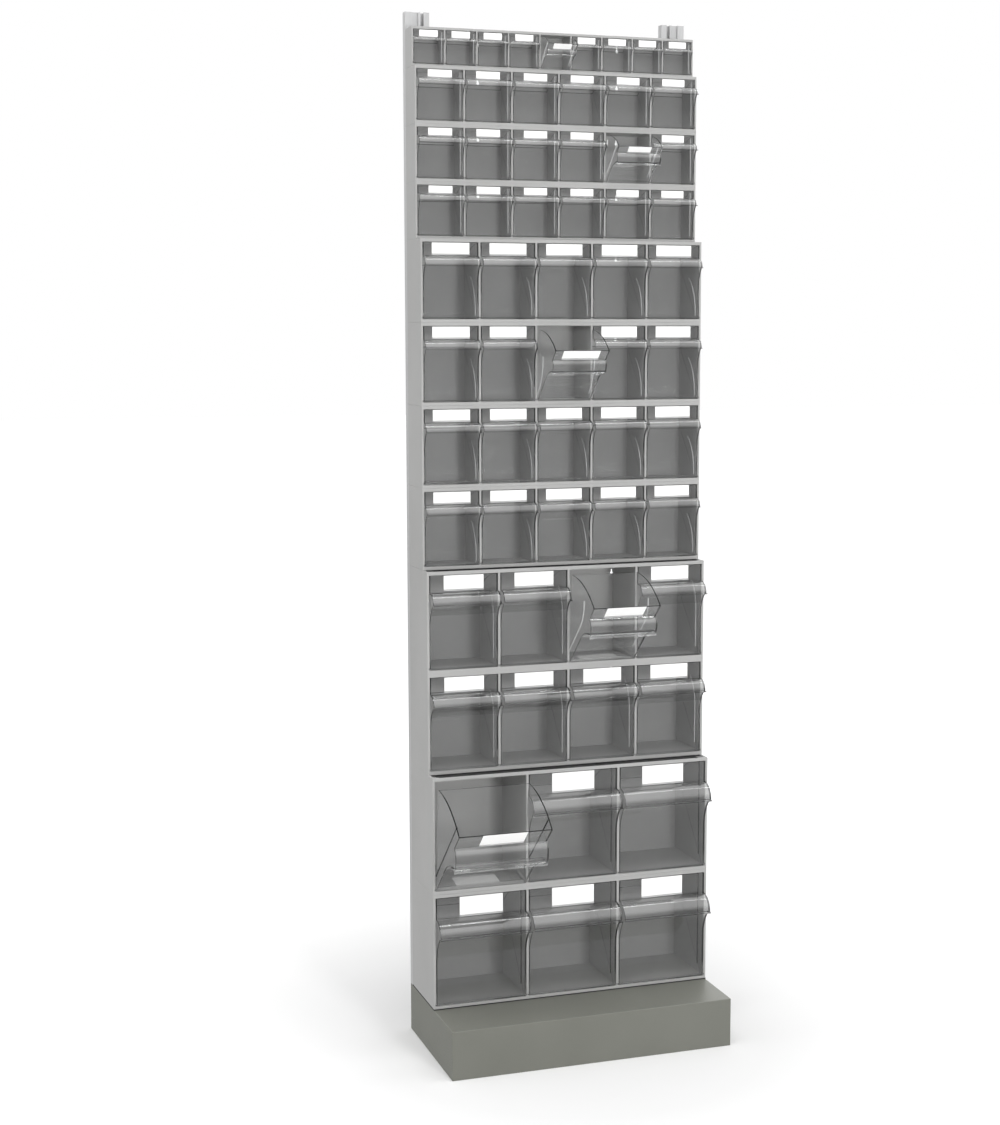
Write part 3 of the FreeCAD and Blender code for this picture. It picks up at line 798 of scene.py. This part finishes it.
for node, bins in binGroups.items():
    row, place, family = bins[0]
    size = binSizes[family]
    width, height = size["label"]
    y = -size["inset"] + binDetail["recess"] - cardSizes["seat"]
    spot = Vector((0, y, size["top"] - height / 2 - cardSizes["drop"])) * mm
    values = {
        cardInputs["Width"]: (width - cardSizes["margin"]) * mm,
        cardInputs["Height"]: (height - cardSizes["margin"]) * mm,
        cardInputs["Thickness"]: cardSizes["thickness"] * mm,
        cardInputs["Corner"]: cardSizes["corner"] * mm,
        cardInputs["Tilt"]: binPlace(row, place).to_euler().x,
        cardInputs["Finish"]: cardPaper,
    }
    points = [binPlace(r, p) @ spot for r, p, _ in bins]
    piece = growOnPoints(f"{node}_card", points, cardTree, values)
    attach(piece, node if node in frame["bodies"] else "rack")
print("label cards:", len(binGroups), "pieces")


# Screws: a domed head with a hexagon socket behind each upright, at the middle of each housing

screwSizes = {
    "radius": 4.2, "height": 2.8, "dome": 0.4, "socket": 1.5, "seat": 0.1, "inward": 25.0,
    "sides": 24, "rings": 4, "socketSides": 6, "seed": 5,
}
screwTree = bpy.data.node_groups.new("domedScrews", "GeometryNodeTree")
screwInputs = sizedInputs(screwTree, ("Radius", "Height", "Dome", "Socket"))


def buildScrewTree(tree):
    given = addNode(tree, "NodeGroupInput")
    head = addNode(tree, "GeometryNodeMeshCylinder")
    head.inputs["Vertices"].default_value = screwSizes["sides"]
    head.inputs["Fill Segments"].default_value = screwSizes["rings"]
    wire(tree, given.outputs["Radius"], head.inputs["Radius"], given.outputs["Height"], head.inputs["Depth"])
    # The upper face falls away towards its edge
    place = addNode(tree, "GeometryNodeInputPosition")
    parts = addNode(tree, "ShaderNodeSeparateXYZ")
    wire(tree, place.outputs[0], parts.inputs[0])
    across = calculate(tree, "MULTIPLY", parts.outputs["X"], parts.outputs["X"])
    along = calculate(tree, "MULTIPLY", parts.outputs["Y"], parts.outputs["Y"])
    square = calculate(tree, "MULTIPLY", given.outputs["Radius"], given.outputs["Radius"])
    share = calculate(tree, "DIVIDE", calculate(tree, "ADD", across, along), square)
    above = calculate(tree, "GREATER_THAN", parts.outputs["Z"], 0.0)
    drop = calculate(tree, "MULTIPLY", calculate(tree, "MULTIPLY", share, above), given.outputs["Dome"])
    fall = calculate(tree, "MULTIPLY", calculate(tree, "MULTIPLY", drop, given.outputs["Height"]), -1.0)
    offset = addNode(tree, "ShaderNodeCombineXYZ")
    domed = addNode(tree, "GeometryNodeSetPosition")
    wire(tree, fall, offset.inputs["Z"], head.outputs["Mesh"], domed.inputs["Geometry"])
    wire(tree, offset.outputs[0], domed.inputs["Offset"])
    hexagon = addNode(tree, "GeometryNodeMeshCylinder")
    hexagon.inputs["Vertices"].default_value = screwSizes["socketSides"]
    raised = addNode(tree, "GeometryNodeTransform")
    lift = addNode(tree, "ShaderNodeCombineXYZ")
    hollow = addNode(tree, "GeometryNodeMeshBoolean", operation="DIFFERENCE")
    wire(tree, given.outputs["Socket"], hexagon.inputs["Radius"])
    wire(tree, given.outputs["Height"], hexagon.inputs["Depth"])
    wire(tree, calculate(tree, "MULTIPLY", given.outputs["Height"], 0.5), lift.inputs["Z"])
    wire(tree, hexagon.outputs["Mesh"], raised.inputs["Geometry"])
    wire(tree, lift.outputs[0], raised.inputs["Translation"])
    wire(tree, domed.outputs[0], hollow.inputs["Mesh 1"], raised.outputs[0], hollow.inputs["Mesh 2"])
    # Each screw is tightened to a turn of its own
    turned = addNode(tree, "FunctionNodeRandomValue", data_type="FLOAT")
    turned.inputs[2].default_value, turned.inputs[3].default_value = 0.0, math.tau
    turned.inputs["Seed"].default_value = screwSizes["seed"]
    angles = addNode(tree, "ShaderNodeCombineXYZ")
    angles.inputs["X"].default_value = -math.pi / 2
    rotation = addNode(tree, "FunctionNodeEulerToRotation")
    wire(tree, turned.outputs[1], angles.inputs["Y"], angles.outputs[0], rotation.inputs[0])
    endTree(tree, given, hollow.outputs["Mesh"], rotation.outputs[0])


def screwPoints():
    across = rackSizes["halfWidth"] - screwSizes["inward"]
    surface = rackSizes["backPlane"] + rackSizes["uprightDepth"]
    back = surface - screwSizes["seat"] + screwSizes["height"] / 2
    tops = [rackSizes["top"]] + [floor for family, floor in stack[:-1]]
    heights = [(floor + top) / 2 for (family, floor), top in zip(stack, tops)]
    return [Vector((side * across, back, z)) * mm for side in (-1, 1) for z in heights]


buildScrewTree(screwTree)
screwValues = {
    screwInputs["Radius"]: screwSizes["radius"] * mm, screwInputs["Height"]: screwSizes["height"] * mm,
    screwInputs["Dome"]: screwSizes["dome"], screwInputs["Socket"]: screwSizes["socket"] * mm,
    screwInputs["Finish"]: screwSteel,
}
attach(growOnPoints("upright_screws", screwPoints(), screwTree, screwValues), "rack")
print("screws:", len(screwPoints()))


# Floor, light and camera

stageSizes = {
    "floor": 30.0, "floorShade": 0.8, "floorLift": (0.06, 0.5), "floorFade": (0.4, 1.6),
    "domeRise": (0.0, 0.9), "dome": (0.32, 0.9),
    "glossRise": (0.0, 0.6), "glossAround": 0.45, "glossAbove": 2.6,
}
lamps = (  # name, place, aim, length, width, power, seen in gloss
    ("overLamp", (0.1, -0.95, 4.6), (0, -0.1, 1.0), 4.6, 0.8, 45.0, False),
    ("stripLamp", (0.1, -0.95, 4.5), (0, -0.1, 1.0), 4.6, 0.35, 25.0, True),  # thin lines on the brows
    ("keyLamp", (0.5, -4.0, 1.3), (0, 0, 0.8), 0.6, 0.6, 70.0, False),
    ("sideLamp", (-3.4, 0.3, 1.3), (0, 0.1, 0.9), 1.6, 1.6, 23.0, False),
)


def buildFloor():
    mesh = bpy.data.meshes.new("floor")
    reach = stageSizes["floor"]
    corners = [(-reach, -reach, 0), (reach, -reach, 0), (reach, reach, 0), (-reach, reach, 0)]
    mesh.from_pydata(corners, [], [(0, 1, 2, 3)])
    material, tree, shader, output = newMaterial("floorWhite")
    shade = stageSizes["floorShade"]
    shader.inputs["Base Color"].default_value = (shade, shade, shade, 1)
    shader.inputs["Roughness"].default_value = 1.0
    shader.inputs["Specular IOR Level"].default_value = 0.0
    shader.inputs["Emission Color"].default_value = (1, 1, 1, 1)
    # Far from the rack the floor fades into the white background
    place = addNode(tree, "ShaderNodeTexCoord")
    away = addNode(tree, "ShaderNodeVectorMath", operation="LENGTH")
    wire(tree, place.outputs["Object"], away.inputs[0])
    fade = remap(tree, away.outputs["Value"], stageSizes["floorLift"], stageSizes["floorFade"])
    seen = eitherRay(tree, "Is Camera Ray", "Is Transmission Ray")
    wire(tree, calculate(tree, "MULTIPLY", seen, fade), shader.inputs["Emission Strength"])
    # In gloss it is as dim as the room around it
    dim = addNode(tree, "ShaderNodeEmission")
    dim.inputs["Strength"].default_value = stageSizes["glossAround"]
    mix = addNode(tree, "ShaderNodeMixShader")
    wire(tree, eitherRay(tree, "Is Glossy Ray"), mix.inputs[0], shader.outputs[0], mix.inputs[1])
    wire(tree, dim.outputs[0], mix.inputs[2], mix.outputs[0], output.inputs["Surface"])
    mesh.materials.append(material)
    newObject("floor", mesh)


def buildWorld():
    # White where it is seen, and for gloss a dim room with a bright ceiling
    world = bpy.data.worlds.new("studio")
    scene.world = world
    world.use_nodes = True
    tree = world.node_tree
    dome = tree.nodes["Background"]
    room = addNode(tree, "ShaderNodeBackground")
    white = addNode(tree, "ShaderNodeBackground")
    for light in (dome, room, white):
        light.inputs["Color"].default_value = (1, 1, 1, 1)
    way = addNode(tree, "ShaderNodeTexCoord")
    parts = addNode(tree, "ShaderNodeSeparateXYZ")
    glossy = (stageSizes["glossAround"], stageSizes["glossAbove"])
    for light, rise, levels in ((dome, "domeRise", stageSizes["dome"]), (room, "glossRise", glossy)):
        strength = remap(tree, parts.outputs["Z"], levels, stageSizes[rise], "SMOOTHSTEP")
        wire(tree, strength, light.inputs["Strength"])
    lit = addNode(tree, "ShaderNodeMixShader")
    shown = addNode(tree, "ShaderNodeMixShader")
    wire(tree, way.outputs["Generated"], parts.inputs[0])
    mirrored = eitherRay(tree, "Is Glossy Ray")
    wire(tree, mirrored, lit.inputs[0], dome.outputs[0], lit.inputs[1], room.outputs[0], lit.inputs[2])
    seen = eitherRay(tree, "Is Camera Ray", "Is Transmission Ray")
    wire(tree, seen, shown.inputs[0], lit.outputs[0], shown.inputs[1], white.outputs[0], shown.inputs[2])
    wire(tree, shown.outputs[0], tree.nodes["World Output"].inputs["Surface"])


def addLamp(name, place, aim, length, width, power, inGloss):
    lamp = bpy.data.lights.new(name, "AREA")
    lamp.shape = "RECTANGLE"
    lamp.size = length
    lamp.size_y = width
    lamp.energy = power
    made = newObject(name, lamp)
    made.visible_glossy = inGloss
    made.location = place
    made.rotation_euler = (Vector(aim) - Vector(place)).to_track_quat("-Z", "Y").to_euler()


photoCamera = {
    "place": (-1.31676, -3.5485, 1.46), "yaw": 18.139, "pitch": -6.896, "roll": -0.146,
    "lens": 60.274, "sensor": 36.0, "reach": 100.0,
}


def addCamera():
    data = bpy.data.cameras.new("photoCamera")
    data.sensor_fit = "AUTO"
    data.sensor_width = photoCamera["sensor"]
    data.lens = photoCamera["lens"]
    data.clip_end = photoCamera["reach"]
    made = newObject("photoCamera", data)
    yaw, pitch, roll = (math.radians(photoCamera[key]) for key in ("yaw", "pitch", "roll"))
    look = Matrix.Translation(photoCamera["place"]) @ Matrix.Rotation(-yaw, 4, "Z")
    look = look @ Matrix.Rotation(math.pi / 2 + pitch, 4, "X") @ Matrix.Rotation(roll, 4, "Z")
    made.matrix_world = look
    scene.camera = made


buildFloor()
buildWorld()
for lamp in lamps:
    addLamp(*lamp)
addCamera()
scene.view_settings.view_transform = "Standard"
print("stage set")
